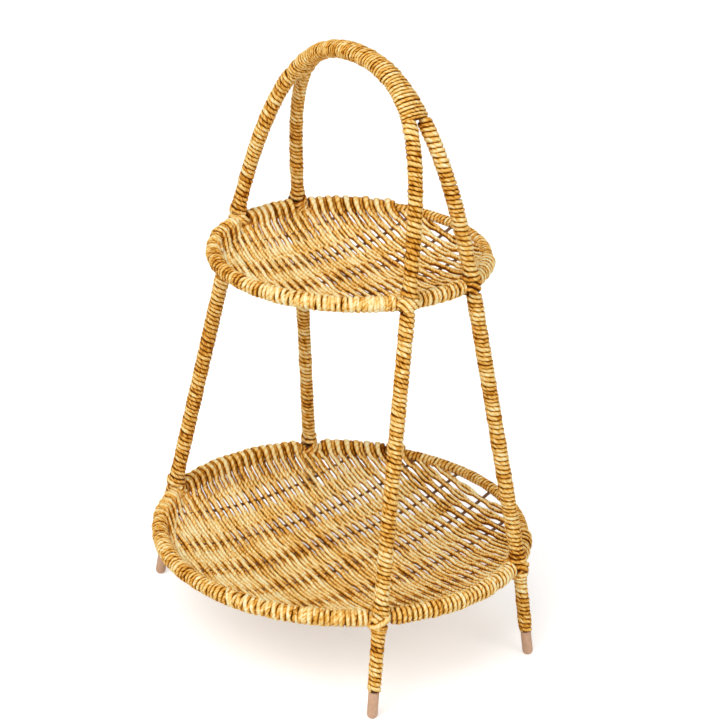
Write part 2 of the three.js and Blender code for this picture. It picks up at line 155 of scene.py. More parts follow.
def cordOf(centres, across, outward, halfWidths, halfHeights, shades=0.5):
    count = len(centres)
    return {
        "centres": centres, "across": across, "outward": outward,
        "halfWidths": np.broadcast_to(halfWidths, count), "halfHeights": np.broadcast_to(halfHeights, count),
        "shades": np.broadcast_to(shades, count),
    }


def rollCords(name, cords, sides, material, nodes):
    shape = bmesh.new()
    uvs = shape.loops.layers.uv.new("cordUv")
    shadeLayer = shape.verts.layers.float.new("cordShade")
    turns = 2 * np.pi * np.arange(sides + 1) / sides
    for cord in cords:
        rings = len(cord["centres"])
        wide = cord["across"][:, None] * (cord["halfWidths"][:, None] * np.cos(turns))[..., None]
        high = cord["outward"][:, None] * (cord["halfHeights"][:, None] * np.sin(turns))[..., None]
        places = (cord["centres"][:, None] + wide + high) * mm
        steps = np.linalg.norm(np.diff(cord["centres"], axis=0), axis=1)
        lengths = np.concatenate([[0], np.cumsum(steps)])
        strip = bmesh.ops.create_grid(shape, x_segments=rings - 1, y_segments=sides, size=1.0)
        for vert in strip["verts"]:
            ring = round((vert.co.x + 1) / 2 * (rings - 1))
            corner = round((vert.co.y + 1) / 2 * sides)
            vert.co = places[ring, corner % sides]
            vert[shadeLayer] = cord["shades"][ring]
            for loop in vert.link_loops:
                loop[uvs].uv = (lengths[ring], corner / sides)
    bmesh.ops.remove_doubles(shape, verts=shape.verts, dist=1e-7)
    bmesh.ops.holes_fill(shape, edges=[edge for edge in shape.edges if edge.is_boundary], sides=0)
    bmesh.ops.recalc_face_normals(shape, faces=shape.faces)
    return finishPiece(name, shape, material, nodes)


# Every piece ends here, as an object that rides the frame and stands for its nodes
def finishPiece(name, shape, material, nodes):
    mesh = bpy.data.meshes.new(name)
    shape.to_mesh(mesh)
    shape.free()
    for face in mesh.polygons:
        face.use_smooth = True
    piece = bpy.data.objects.new(name, mesh)
    bpy.context.scene.collection.objects.link(piece)
    piece.data.materials.append(material)
    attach(piece, "root")
    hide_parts(*nodes)
    return piece


cordEnd = {
    "turns": 0.35,  # how much of a turn a cord's end takes to come out from under the next turn
    "sink": 1.2,  # how deep it starts, in halves of the cord's thickness
}


# A cord wound round a route, one turn beside the next, or one of several strands that are wound together.
# grip gives the half sizes, over the side and up directions, of what the cord lies on
def windCord(route, start, end, look, grip, seed, strand=0):
    rng = random.Random(seed)
    turns = max(3, round((end - start) / look["pitch"]))
    widths = np.array([1 + look["unevenness"] * rng.uniform(-1, 1) for _ in range(turns)])
    edges = start + (end - start) * np.concatenate([[0], np.cumsum(widths)]) / widths.sum()
    middles = (edges[1:] + edges[:-1]) / 2
    heights = np.array([1 + look["heightJitter"] * rng.uniform(-1, 1) for _ in range(turns)])
    leans = np.array([look["pitch"] * look["leanJitter"] * rng.uniform(-1, 1) for _ in range(turns)])
    shades = np.array([rng.uniform(0, 1) for _ in range(turns)])
    turn = np.linspace(0, turns - 1, (turns - 1) * look["steps"] // look["strands"] + 1)

    def each(values):
        return np.interp(turn, np.arange(turns), values)

    angle = -look["hand"] * 2 * np.pi * (turn - strand) / look["strands"]
    distance = each(middles) + each(leans) * np.cos(angle + look["leanAngle"])
    halfWidth = each(np.diff(edges)) / 2 * look["widthShare"]
    halfHeight = each(heights) * look["thickness"] / 2
    left = turns - 1 - turn
    tuck = 1 - smoothStep(0, cordEnd["turns"], turn) * smoothStep(0, cordEnd["turns"], left)
    rise = halfHeight * (1 - cordEnd["sink"] * tuck)
    centre, along, side, up = placesOn(route, distance)
    gripSide, gripUp = grip(distance)
    reachSide, reachUp = gripSide + rise, gripUp + rise
    cos, sin = np.cos(angle), np.sin(angle)
    places = centre + side * (reachSide * cos)[:, None] + up * (reachUp * sin)[:, None]
    outward = unit(side * (cos / reachSide)[:, None] + up * (sin / reachUp)[:, None])
    return cordOf(places, along, outward, halfWidth, halfHeight, each(shades))


# Short ways to add a node with its settings and links
def addNode(nodes, kind, **settings):
    node = nodes.new(kind)
    for key, value in settings.items():
        setattr(node, key, value)
    return node


def mathNode(tree, operation, first, second=None, third=None):
    node = addNode(tree.nodes, "ShaderNodeMath", operation=operation)
    for socket, value in zip(node.inputs, (first, second, third)):
        if isinstance(value, (int, float)):
            socket.default_value = value
        elif value is not None:
            tree.links.new(value, socket)
    return node.outputs[0]


def rampNode(tree, factor, stops):
    node = tree.nodes.new("ShaderNodeValToRGB")
    tree.links.new(factor, node.inputs["Fac"])
    ramp = node.color_ramp
    while len(ramp.elements) < len(stops):
        ramp.elements.new(0.5)
    for element, (position, colour) in zip(ramp.elements, stops):
        element.position = position
        element.color = (*colour, 1.0)
    return node.outputs["Color"]


def noiseNode(tree, vector, scale, detail, roughness=0.5):
    node = tree.nodes.new("ShaderNodeTexNoise")
    tree.links.new(vector, node.inputs["Vector"])
    node.inputs["Scale"].default_value = scale
    node.inputs["Detail"].default_value = detail
    node.inputs["Roughness"].default_value = roughness
    return node.outputs["Fac"]


def newMaterial(name):
    material = bpy.data.materials.new(name)
    material.use_nodes = True
    tree = material.node_tree
    shader = tree.nodes["Principled BSDF"]
    return material, tree, shader


# Cord material: twisted strands with fine fibres along them, in golden straw
def cordMaterial(look):
    material, tree, shader = newMaterial(look["name"])
    links = tree.links
    uv = addNode(tree.nodes, "ShaderNodeUVMap", uv_map="cordUv")
    parts = tree.nodes.new("ShaderNodeSeparateXYZ")
    links.new(uv.outputs["UV"], parts.inputs[0])
    along, around = parts.outputs[0], parts.outputs[1]
    twist = mathNode(tree, "MULTIPLY_ADD", along, 1 / look["lay"], around)
    turn = mathNode(tree, "MULTIPLY", twist, 2 * math.pi)
    fibreVector = tree.nodes.new("ShaderNodeCombineXYZ")
    links.new(mathNode(tree, "COSINE", turn), fibreVector.inputs[0])
    links.new(mathNode(tree, "SINE", turn), fibreVector.inputs[1])
    links.new(mathNode(tree, "MULTIPLY", along, look["fibreStretch"]), fibreVector.inputs[2])
    fibre = noiseNode(tree, fibreVector.outputs[0], look["fibreScale"], look["fibreDetail"],
                      look["fibreRoughness"])
    strand = mathNode(tree, "SINE", mathNode(tree, "MULTIPLY", turn, look["strands"] / 2))
    strand = mathNode(tree, "POWER", mathNode(tree, "ABSOLUTE", strand), look["strandPower"])
    # Painted shade between neighbouring cords: a cord is lighter on its top and bottom and darker on its
    # flanks
    paintedCrownLight = mathNode(tree, "SINE", mathNode(tree, "MULTIPLY", around, 2 * math.pi))
    paintedCrownLight = mathNode(tree, "ABSOLUTE", paintedCrownLight)
    coordinates = tree.nodes.new("ShaderNodeTexCoord")
    patch = noiseNode(tree, coordinates.outputs["Object"], look["patchScale"], look["patchDetail"])
    # cordShade holds each cord's own random tone, and on the mats also painted shade where a lower cord
    # passes under a stake
    shade = addNode(tree.nodes, "ShaderNodeAttribute", attribute_name="cordShade", attribute_type="GEOMETRY")
    tone = mathNode(tree, "MULTIPLY_ADD", fibre, look["fibreTone"], look["toneBase"])
    tone = mathNode(tree, "MULTIPLY_ADD", shade.outputs["Fac"], look["shadeTone"], tone)
    tone = mathNode(tree, "MULTIPLY_ADD", patch, look["patchTone"], tone)
    # Painted shade in the grooves between the plies; the same wave also gives the bump
    tone = mathNode(tree, "MULTIPLY_ADD", strand, look["plyGrooveShade"], tone)
    tone = mathNode(tree, "MULTIPLY_ADD", paintedCrownLight, look["paintedFlankShade"], tone)
    colour = rampNode(tree, tone, look["colours"])
    links.new(colour, shader.inputs["Base Color"])
    smoothest = look["roughness"] - look["roughRange"] / 2
    rough = mathNode(tree, "MULTIPLY_ADD", fibre, look["roughRange"], smoothest)
    links.new(rough, shader.inputs["Roughness"])
    height = mathNode(tree, "MULTIPLY_ADD", fibre, look["fibreHeight"], strand)
    bump = tree.nodes.new("ShaderNodeBump")
    bump.inputs["Strength"].default_value = look["bumpStrength"]
    bump.inputs["Distance"].default_value = look["bumpDistance"] * mm
    links.new(height, bump.inputs["Height"])
    links.new(bump.outputs["Normal"], shader.inputs["Normal"])
    shader.inputs["Specular IOR Level"].default_value = look["specular"]
    return material


strawLook = {
    "name": "goldenStrawCord",
    "lay": 7.0,  # millimetres for one turn of the twist
    "strands": 2,
    "strandPower": 0.6,
    "fibreStretch": 0.35,
    "fibreScale": 1.25,
    "fibreDetail": 3,
    "fibreRoughness": 0.6,
    "fibreHeight": 0.5,
    "patchScale": 240.0,
    "patchDetail": 2,
    "toneBase": -1.66,
    "fibreTone": 1.55,
    "shadeTone": 0.45,
    "patchTone": 0.6,
    # painted shade in the grooves between a cord's plies
    "plyGrooveShade": 0.18,
    "paintedFlankShade": 0.9,  # painted shade: how much darker a cord's flanks, where it lies against its neighbours, are than its top
    "colours": (
        (0.0, (0.13, 0.03, 0.001)),
        (0.22, (0.4, 0.13, 0.005)),
        (0.42, (0.74, 0.32, 0.035)),
        (0.6, (0.9, 0.52, 0.12)),
        (0.8, (0.98, 0.74, 0.3)),
        (1.0, (1.0, 0.91, 0.56)),
    ),
    "roughness": 0.5,
    "roughRange": 0.25,
    "bumpStrength": 0.6,
    "bumpDistance": 0.3,
    "specular": 0.06,
}
straw = cordMaterial(strawLook)
# Painted light: the mats' copy of the straw is lighter than the wound cords', to make up for how the light
# falls on the mats
matStraw = cordMaterial({**strawLook, "name": "wovenStrawCord", "toneBase": -1.41, "shadeTone": 0.36,
                         "paintedFlankShade": 0.85})
print("cord material ready")


# The woven mats: cords in pairs, of which one lies over and one under each stake. Between the stakes all
# of them lie side by side. Where a cord meets the rim squarely enough it turns over it
weave = {
    # heading is from X to the middle cords, seen from above, and fan how much farther the last ones turn.
    # pairs is how many there are on each side of the middle one
    "lower": {"heading": -9.5, "fan": 5.0, "pairs": 18, "pairPitch": 5.35, "shift": -0.8,
              "stakeSpacing": 29.6, "firstStake": 14.8, "turnRadius": 3.95, "seed": 11},
    "upper": {"heading": -12.0, "fan": 7.0, "pairs": 13, "pairPitch": 5.2, "shift": -0.3,
              "stakeSpacing": 28.25, "firstStake": 0.0, "turnRadius": 3.5, "seed": 12},
    "cordRadius": 1.3,
    "lift": 1.0,  # how far a pair's cords lie above and below the dish where they hold a stake
    "apart": 1.1,  # half the distance between them there
    "outFrom": -40.0,  # how far in front of the tray's middle the lower one begins to lie farther out
    "outTo": 5.0,
    "underOut": 1.3,
    "holdFrom": -0.85,  # how soon a pair begins to close on a stake, and how soon it holds it
    "holdFull": 0.35,
    "holdEnd": 16.0,  # from a cord's end in to where it may hold a stake fully
    "wallHold": (3.0, 11.0),  # where a pair's lower cord passes behind on the wall at the back left
    # how much wider its upper cord is on the rim there, and how far it lies above the other
    "backWidth": 1.4,
    "backLift": 0.45,
    "frontFrom": 25.0,  # how far in front of the tray's middle its cords begin to lie flatter
    "frontTo": 60.0,
    "frontFlat": 0.4,
    "paintedUnderShade": 1.15,  # painted shade: how much darker a pair's lower cord is where it passes under a stake, and where it passes behind on the wall and over the rim at the back left
    "shadeFrom": 0.05,  # how soon it darkens towards a stake, and how soon it is darkest
    "shadeFull": 0.85,
    "ringStep": 2.0,
    "sides": 8,
    "edgeInset": 2.6,  # from the rim wire's middle to the end of a cord that stays inside the rim
    "drift": 0.25,
    # how much a cord wavers, and over what length
    "wavers": {"side": (0.25, 40), "height": (0.15, 30), "width": (0.05, 12), "shade": (0.2, 25)},
    "radiusJitter": 0.07,
    "turnStart": 8.5,  # from the rim wire's middle in to where a cord leaves the dish
    "turnTop": 128.0,  # angles round the rim wire, counted from its outside by the top
    "turnEnd": -115.0,
    "turnSteps": 20,
    "turnWidth": 1.06,  # how much wider a cord is on the rim
    "turnHeight": 1.05,  # half its height there
    "turnJitter": 0.3,
    "liftShares": (0.15, 0.45),  # the part of a cord's end in which it changes its height over the dish
    "settledBy": 0.4,  # the share of its end after which it lies square and wide on the rim
    "squareUp": 0.85,  # how much of its slant a cord loses on its way over the rim
    "steepest": {-1: 76.0, 1: 63.0},  # the most slant with which cords turn, at the front left and back right
    "edgeCords": (6.3, 8.2),  # from the rim wire's middle in to the cords that run along it at the front left
    "edgeFrom": -143.0,  # angles from X round the rim
    "edgeTo": -62.0,
    "edgeRings": 60,
    "edgeWaver": (0.5, 8),
    "edgeRise": 0.2,
    "stayRings": 8,  # on the end of a cord that stays inside the rim
    "jointClear": 5.5,  # how far along the rim the turns stay from a leg
}


# Random values from -1 to 1 that change smoothly, with one knot for each spacing
def smoothNoise(rng, count, spacing, step):
    knots = max(4, int(count * step / spacing) + 3)
    values = np.array([rng.uniform(-1, 1) for _ in range(knots)])
    places = np.linspace(0, knots - 1, count)
    low = np.minimum(places.astype(int), knots - 2)
    share = places - low
    share = share * share * (3 - 2 * share)
    return values[low] * (1 - share) + values[low + 1] * share


# Heights over distances from the tray's middle, from the dish over the rim
def turnProfile(tray):
    ring, rim, reach = basket[tray]["ringRadius"], basket[tray]["rimHeight"], weave[tray]["turnRadius"]
    start = ring - weave["turnStart"]
    first = np.array([start, dishHeight(tray, start)])
    slope = dishHeight(tray, start) - dishHeight(tray, start - 1)
    angle = math.radians(weave["turnTop"])
    last = np.array([ring + reach * math.cos(angle), rim + reach * math.sin(angle)])
    heading = np.array([math.sin(angle), -math.cos(angle)])
    pull = weave["turnStart"]
    t = np.linspace(0, 1, weave["turnSteps"] // 2)[:, None]
    rise = ((2 * t ** 3 - 3 * t ** 2 + 1) * first + (t ** 3 - 2 * t ** 2 + t) * pull * np.array([1, slope])
            + (3 * t ** 2 - 2 * t ** 3) * last + (t ** 3 - t ** 2) * pull * heading)
    angles = np.radians(np.linspace(weave["turnTop"], weave["turnEnd"], weave["turnSteps"])[1:])
    turn = np.stack([ring + reach * np.cos(angles), rim + reach * np.sin(angles)], axis=1)
    return np.vstack([rise, turn])


# The end of a cord from where it leaves the dish, with the outward directions of the surface it lies on.
# lifts says how far it lies off that surface at first and at last
def turnOver(tray, start, direction, lifts):
    profile = turnProfile(tray)
    slopes = unit(np.gradient(profile, axis=0))
    steep = np.stack([-slopes[:, 1], slopes[:, 0]], axis=1)
    share = np.linspace(0, 1, len(profile))
    risen = smoothStep(*weave["liftShares"], share)
    profile = profile + steep * (lifts[0] + (lifts[1] - lifts[0]) * risen)[:, None]
    angle = math.atan2(start[1], start[0])
    outward = np.array([math.cos(angle), math.sin(angle)])
    slant = (outward[0] * direction[1] - outward[1] * direction[0]) / outward.dot(direction)
    slants = slant * (1 - weave["squareUp"] * smoothStep(0, weave["settledBy"], share[1:]))
    steps = np.linalg.norm(np.diff(profile, axis=0), axis=1)
    sweep = np.concatenate([[0], np.cumsum(steps * slants / profile[1:, 0])]) + angle
    points = np.stack([profile[:, 0] * np.cos(sweep), profile[:, 0] * np.sin(sweep), profile[:, 1]], axis=1)
    normals = np.stack([steep[:, 0] * np.cos(sweep), steep[:, 0] * np.sin(sweep), steep[:, 1]], axis=1)
    return points[1:], normals[1:], sweep[1:]


# Whether turns at these angles would run into a leg
def nearLeg(tray, angles):
    sizes = basket[tray]
    clear = weave["jointClear"] / sizes["ringRadius"]
    folded = np.arctan2(np.abs(np.sin(angles)), np.abs(np.cos(angles)))
    return np.abs(folded - math.radians(sizes["legAngle"])) < clear


# The end of a cord that a leg keeps from turning: straight on over the dish and into the rim's winding
def stayInside(tray, start, direction):
    square = start.dot(direction)
    reach = basket[tray]["ringRadius"] - weave["edgeInset"]
    length = math.sqrt(square ** 2 + reach ** 2 - start.dot(start)) - square
    places = start + direction * np.linspace(0, length, weave["stayRings"])[1:, None]
    points = np.column_stack([places, dishHeight(tray, np.hypot(places[:, 0], places[:, 1]))])
    return points, np.broadcast_to(np.array([0.0, 0.0, 1.0]), points.shape)


# One cord of a pair, from rim to rim. member is -1 for the one that lies over the stakes, or else 1
def wovenCord(tray, rng, middle, heading, member):
    plan, ring = weave[tray], basket[tray]["ringRadius"]
    along = np.array([math.cos(heading), math.sin(heading)])
    across = np.array([-along[1], along[0]])
    offset = middle + member * plan["pairPitch"] / 4
    leaving = ring - weave["turnStart"]
    steepest = math.radians(weave["steepest"][-1 if offset < 0 else 1])
    turns = abs(offset) < leaving * math.sin(steepest)
    reach = leaving if turns else ring - weave["edgeInset"]
    half = math.sqrt(reach ** 2 - offset ** 2)
    count = int(2 * half / weave["ringStep"]) + 2
    run = np.linspace(-half, half, count)

    def waver(key):
        size, length = weave["wavers"][key]
        return size * smoothNoise(rng, count, length, weave["ringStep"])

    past = run * along[0] + offset * across[0] - plan["firstStake"]
    nearStake = np.cos(2 * np.pi * past / plan["stakeSpacing"])
    held = smoothStep(0, weave["holdEnd"], half - np.abs(run))
    hold = held * smoothStep(weave["holdFrom"], weave["holdFull"], nearStake)
    wall = 1 - smoothStep(*weave["wallHold"], half + run)
    before = run * along.dot(towardsFront) + offset * across.dot(towardsFront)
    apart = weave["apart"]
    if member > 0:
        apart = apart + weave["underOut"] * smoothStep(weave["outFrom"], weave["outTo"], before)
    sideways = middle + member * (plan["pairPitch"] / 4 * (1 - hold) + apart * hold)
    sideways = sideways + held * waver("side")
    x = run * along[0] + sideways * across[0]
    y = run * along[1] + sideways * across[1]
    z = dishHeight(tray, np.minimum(np.hypot(x, y), ring))
    flat = 1 - weave["frontFlat"] * smoothStep(weave["frontFrom"], weave["frontTo"], before)
    z = z - member * weave["lift"] * np.maximum(hold * flat, wall) + held * waver("height")
    points = np.stack([x, y, z], axis=1)
    normals = np.broadcast_to(np.array([0.0, 0.0, 1.0]), points.shape)
    size = weave["cordRadius"] * (1 + weave["radiusJitter"] * rng.uniform(-1, 1))
    widths = size * (1 + waver("width"))
    heights = widths
    shade = rng.uniform(0, 1) + waver("shade")
    # Painted shade: the lower cord is darkened where it passes under a stake and behind on the wall
    if member > 0:
        under = np.maximum(held * smoothStep(weave["shadeFrom"], weave["shadeFull"], nearStake), wall)
        shade = shade - weave["paintedUnderShade"] * under
    for side in (-1, 1) if turns else ():
        place = points[0, :2] if side < 0 else points[-1, :2]
        lifts = [0, weave["turnJitter"] * rng.uniform(-1, 1)]
        turnWidth = weave["turnWidth"]
        if side < 0:
            lifts = [-member * weave["lift"], lifts[1] - member * weave["backLift"]]
            turnWidth = weave["backWidth"] if member < 0 else turnWidth
        extra, guides, sweep = turnOver(tray, place, side * along, lifts)
        if nearLeg(tray, sweep[-weave["turnSteps"]:]).any():
            extra, guides = stayInside(tray, place, side * along)
        grown = smoothStep(0, weave["settledBy"], np.linspace(0, 1, len(extra)))
        wide = size * (1 + (turnWidth - 1) * grown)
        high = size + (weave["turnHeight"] - size) * grown
        if side < 0:
            points, normals = np.vstack([extra[::-1], points]), np.vstack([guides[::-1], normals])
            widths, heights = np.append(wide[::-1], widths), np.append(high[::-1], heights)
            # painted shade: the lower cord keeps its darkened start over the rim
            shade = np.append(np.full(len(extra), shade[0]), shade)
        else:
            points, normals = np.vstack([points, extra]), np.vstack([normals, guides])
            widths, heights = np.append(widths, wide), np.append(heights, high)
            shade = np.append(shade, np.full(len(extra), shade[-1]))
    route = makeRoute(points, normals)
    return cordOf(route["points"], route["up"], route["side"], widths, heights, shade)


# A cord that runs along the rim at the front left
def edgeCord(tray, rng, inset):
    rings = weave["edgeRings"]
    size, length = weave["edgeWaver"]
    angles = np.radians(np.linspace(weave["edgeFrom"] + inset, weave["edgeTo"] - inset, rings))
    radius = basket[tray]["ringRadius"] - inset + size * smoothNoise(rng, rings, length, 1)
    height = dishHeight(tray, radius) + weave["edgeRise"]
    route = makeRoute(np.stack([radius * np.cos(angles), radius * np.sin(angles), height], axis=1), (0, 0, 1))
    size = weave["cordRadius"]
    return cordOf(route["points"], route["up"], route["side"], size, size, rng.uniform(0, 1))


def weaveCords(tray):
    plan, ring = weave[tray], basket[tray]["ringRadius"]
    rng = random.Random(plan["seed"])
    cords = []
    for pair in range(-plan["pairs"], plan["pairs"] + 1):
        middle = pair * plan["pairPitch"] + plan["shift"] + rng.uniform(-1, 1) * weave["drift"]
        heading = math.radians(plan["heading"] + plan["fan"] * middle / ring)
        cords += [wovenCord(tray, rng, middle, heading, member) for member in (-1, 1)]
    return cords + [edgeCord(tray, rng, inset) for inset in weave["edgeCords"]]


for tray in ("lower", "upper"):
    cords = weaveCords(tray)
    mat = rollCords(tray + "Weave", cords, weave["sides"], matStraw, [tray + "_tray_mat"])
    print(tray, "mat woven:", len(cords), "cords,", len(mat.data.polygons), "faces")


# Rim windings: a thin cord round each rim wire, which shows at the back right and in the gaps between
# the mat's turns, and a thick rough one along the front
rimWinding = {
    "pitch": 2.6,
    "unevenness": 0.16,
    "heightJitter": 0.1,
    "leanJitter": 0.12,
    "leanAngle": 0.6,
    "widthShare": 1.04,
    "thickness": 1.7,
    "steps": 12,
    "hand": 1,
    "strands": 1,
    "sides": 8,
    "rings": 180,
    "jointGap": 0.8,  # from the leg wire to the end of a stretch
    "firstSeed": 30,
}
roughWinding = {**rimWinding, "pitch": 2.9, "unevenness": 0.22, "heightJitter": 0.16, "leanJitter": 0.22,
                "thickness": 2.4}
# From the rim wire's middle to the outside of its cord
rimReach = {"lower": {"thin": 3.35, "rough": 4.8}, "upper": {"thin": 3.1, "rough": 4.35}}
stretches = {
    "right": ("front_right", "back_right"),
    "back": ("back_right", "back_left"),
    "left": ("back_left", "front_left"),
    "front": ("front_left", "front_right"),
}


# Where a leg's joint is round the rim, from X
def jointAngle(tray, leg):
    place = jointPoint(tray, leg)
    return math.atan2(place[1], place[0])


# A grip of the same radius all the way
def roundGrip(radius):
    return lambda distance: (np.full(len(distance), radius), np.full(len(distance), radius))


for tray in ("lower", "upper"):
    for index, (stretch, (first, last)) in enumerate(stretches.items()):
        ringRadius = basket[tray]["ringRadius"]
        gap = math.asin((rimWinding["jointGap"] + basket["wireRadius"]) / ringRadius)
        start = jointAngle(tray, first) + gap
        end = jointAngle(tray, last) - gap
        end += 2 * math.pi if end < start else 0
        angles = np.linspace(start, end, rimWinding["rings"])
        ring = np.stack([ringRadius * np.cos(angles), ringRadius * np.sin(angles),
                         np.full(len(angles), basket[tray]["rimHeight"])], axis=1)
        route = makeRoute(ring, (0, 0, 1))
        rough = stretch == "front"
        look, radius = roughWinding if rough else rimWinding, rimReach[tray]["rough" if rough else "thin"]
        grip = roundGrip(radius - look["thickness"])
        cord = windCord(route, 0, (end - start) * ringRadius, look, grip, look["firstSeed"] + index)
        rollCords(tray + "RimWinding" + stretch.title(), [cord], rimWinding["sides"], straw,
                  [tray + "_rim_winding_" + stretch])
print("rims wound")


# Leg windings: below the lower tray, between the trays and up the arch
legWinding = {
    "pitch": 2.7,
    "unevenness": 0.22,
    "heightJitter": 0.12,
    "leanJitter": 0.14,
    "leanAngle": 0.3,
    "widthShare": 1.05,
    "thickness": 2.0,
    "steps": 12,
    "hand": 1,
    "strands": 2,
    "sides": 8,
    "capTop": 14.3,
    "jointGap": 2.6,  # from a joint's middle to the end of a winding
    "lowGap": 0.8,
    "collarReach": 7.0,  # how far the thicker turns by a joint reach
    "collarGrowth": {"front_left": 1.4, "back_left": 1.15, "front_right": 1.0, "back_right": 1.0},
    "lowCollar": 1.1,
    "archCollar": 1.0,
    "lowGrowth": 0.35,
    "archThinner": 0.1,
    "underHandle": 2.0,  # how far the arch's cord goes on under the handle's
    "growth": {"front_left": 0.8, "back_left": 0.4, "front_right": 0.65, "back_right": 0.75},
    "firstSeed": 50,
}


# collar says whether the thicker turns are at the start, and how much thicker they are
def legGrip(start, end, collar, growth):
    atStart, extra = collar
    reach = legWinding["collarReach"]

    def grip(distance):
        away = distance - start if atStart else end - distance
        radius = basket["wireRadius"] + growth + extra * (1 - smoothStep(reach / 2, reach, away))
        return radius, radius

    return grip


# How far along a leg its two wires have come close, counted from the floor
def shoulderDistance(route, spread):
    within = np.abs(route["points"][:, 1]) < spread
    return route["lengths"][np.argmax(within)]


handle = {
    "pitch": 2.0,
    "unevenness": 0.2,
    "heightJitter": 0.18,
    "leanJitter": 0.22,
    "leanAngle": 0.0,
    "widthShare": 1.05,
    "thickness": 1.9,
    "steps": 18,
    "hand": 1,
    "strands": 1,
    "sides": 8,
    "padding": 1.3,
    "sideGrip": 0.7,
    "shoulderSpread": 5.3,  # half the wires' distance where the handle's cord begins
    "seed": 91,
}

for index, leg in enumerate(legs):
    route = legRoute(leg)
    lowJoint = distanceAt(route, basket["lower"]["rimHeight"])
    highJoint = distanceAt(route, basket["upper"]["rimHeight"])
    crotch = shoulderDistance(route, handle["shoulderSpread"])
    gap, midGrowth = legWinding["jointGap"], legWinding["growth"][leg]
    archGrowth = midGrowth - legWinding["archThinner"]
    lowCollar, archCollar = (False, legWinding["lowCollar"]), (True, legWinding["archCollar"])
    midCollar = (True, legWinding["collarGrowth"][leg])
    lowEnd, archEnd = lowJoint - legWinding["lowGap"], crotch + legWinding["underHandle"]
    parts = (
        ("low", "low_winding_", legWinding["capTop"], lowEnd, lowCollar, legWinding["lowGrowth"]),
        ("mid", "leg_winding_", lowJoint + gap, highJoint - gap, midCollar, midGrowth),
        ("arch", "arch_winding_", highJoint + gap, archEnd, archCollar, archGrowth),
    )
    for number, (name, node, start, end, collar, growth) in enumerate(parts):
        grip = legGrip(start, end, collar, growth)
        seed = legWinding["firstSeed"] + 10 * index + number
        cords = [windCord(route, start, end, legWinding, grip, seed, strand)
                 for strand in range(legWinding["strands"])]
        rollCords(name + "Winding" + titleOf(leg), cords, legWinding["sides"], straw,
                  [node + leg])
print("legs wound")


# Handle: one cord round both arches from shoulder to shoulder
def handleRoute():
    right = archPoints("front_right")
    left = archPoints("front_left")[::-1][1:]
    points = np.vstack([right, left])
    spread = np.abs(points[:, 1]).copy()
    points[:, 1] = 0
    return makeRoute(points, (0, 1, 0)), spread


route, spread = handleRoute()
wound = spread < handle["shoulderSpread"]
start = route["lengths"][np.argmax(wound)]
end = route["lengths"][-1] - start


def handleGrip(distance):
    reach = np.interp(distance, route["lengths"], spread) + basket["wireRadius"] + handle["sideGrip"]
    return reach, np.full(len(distance), basket["wireRadius"] + handle["padding"])


cord = windCord(route, start, end, handle, handleGrip, handle["seed"])
rollCords("handleWinding", [cord], handle["sides"], straw, ["handle_winding"])
print("handle wound")


# Lashings: turns that cross a joint aslant, round the leg wire and the rim wire. Each strand has its
# slant as seen from outside, its place along the leg, its radius and how far it lies over the others
lashing = {
    "steps": 26,
    "sides": 10,
    "reachOut": 4.7,  # half the length of a turn, from the leg's outside to the rim's inside
    "reachAcross": 3.9,
    "hug": 1.85,  # from the leg wire's middle in to the turn's middle
    "flatness": 0.8,  # below 1 the turn is flatter where it crosses the leg
    "squash": 0.9,
    "sizeJitter": 0.06,
    "firstSeed": 120,
}
lashingStrands = {
    "lower": {
        "front_left": ((35, -3.6, 1.4, 0.2), (38, -1.0, 1.5, 0.5), (36, 1.7, 1.4, 0.3), (-30, 3.6, 1.2, 0.0)),
        "back_left": ((-30, -3.0, 1.4, 0.2), (-34, -0.3, 1.5, 0.4), (-30, 2.4, 1.4, 0.2)),
        "front_right": ((-32, 3.8, 1.3, 0.2), (-34, 1.4, 1.4, 0.3), (-32, -1.2, 1.5, 0.2),
                        (36, -0.4, 1.8, 1.5), (-10, -3.9, 1.7, 0.2)),
        "back_right": ((42, -1.6, 1.5, 0.1), (42, 1.4, 1.5, 0.1), (-42, -1.0, 1.5, 1.3), (-42, 1.9, 1.5, 1.3),
                       (8, -4.4, 1.5, 0.2)),
    },
    "upper": {
        "front_left": ((36, -2.6, 1.3, 0.2), (38, 0.0, 1.4, 0.4), (36, 2.6, 1.3, 0.2)),
        "back_left": ((-30, -2.4, 1.3, 0.2), (-32, 0.1, 1.4, 0.4), (-30, 2.5, 1.3, 0.2),
                      (-14, 4.6, 1.4, 0.3)),
        "front_right": ((-42, -3.9, 1.35, 0.3), (-44, -1.3, 1.45, 0.6), (-42, 1.3, 1.4, 0.5),
                        (-40, 3.8, 1.3, 0.2)),
        "back_right": ((-44, -3.4, 1.35, 0.3), (-46, -0.4, 1.5, 0.7), (-44, 2.9, 1.35, 0.3)),
    },
}


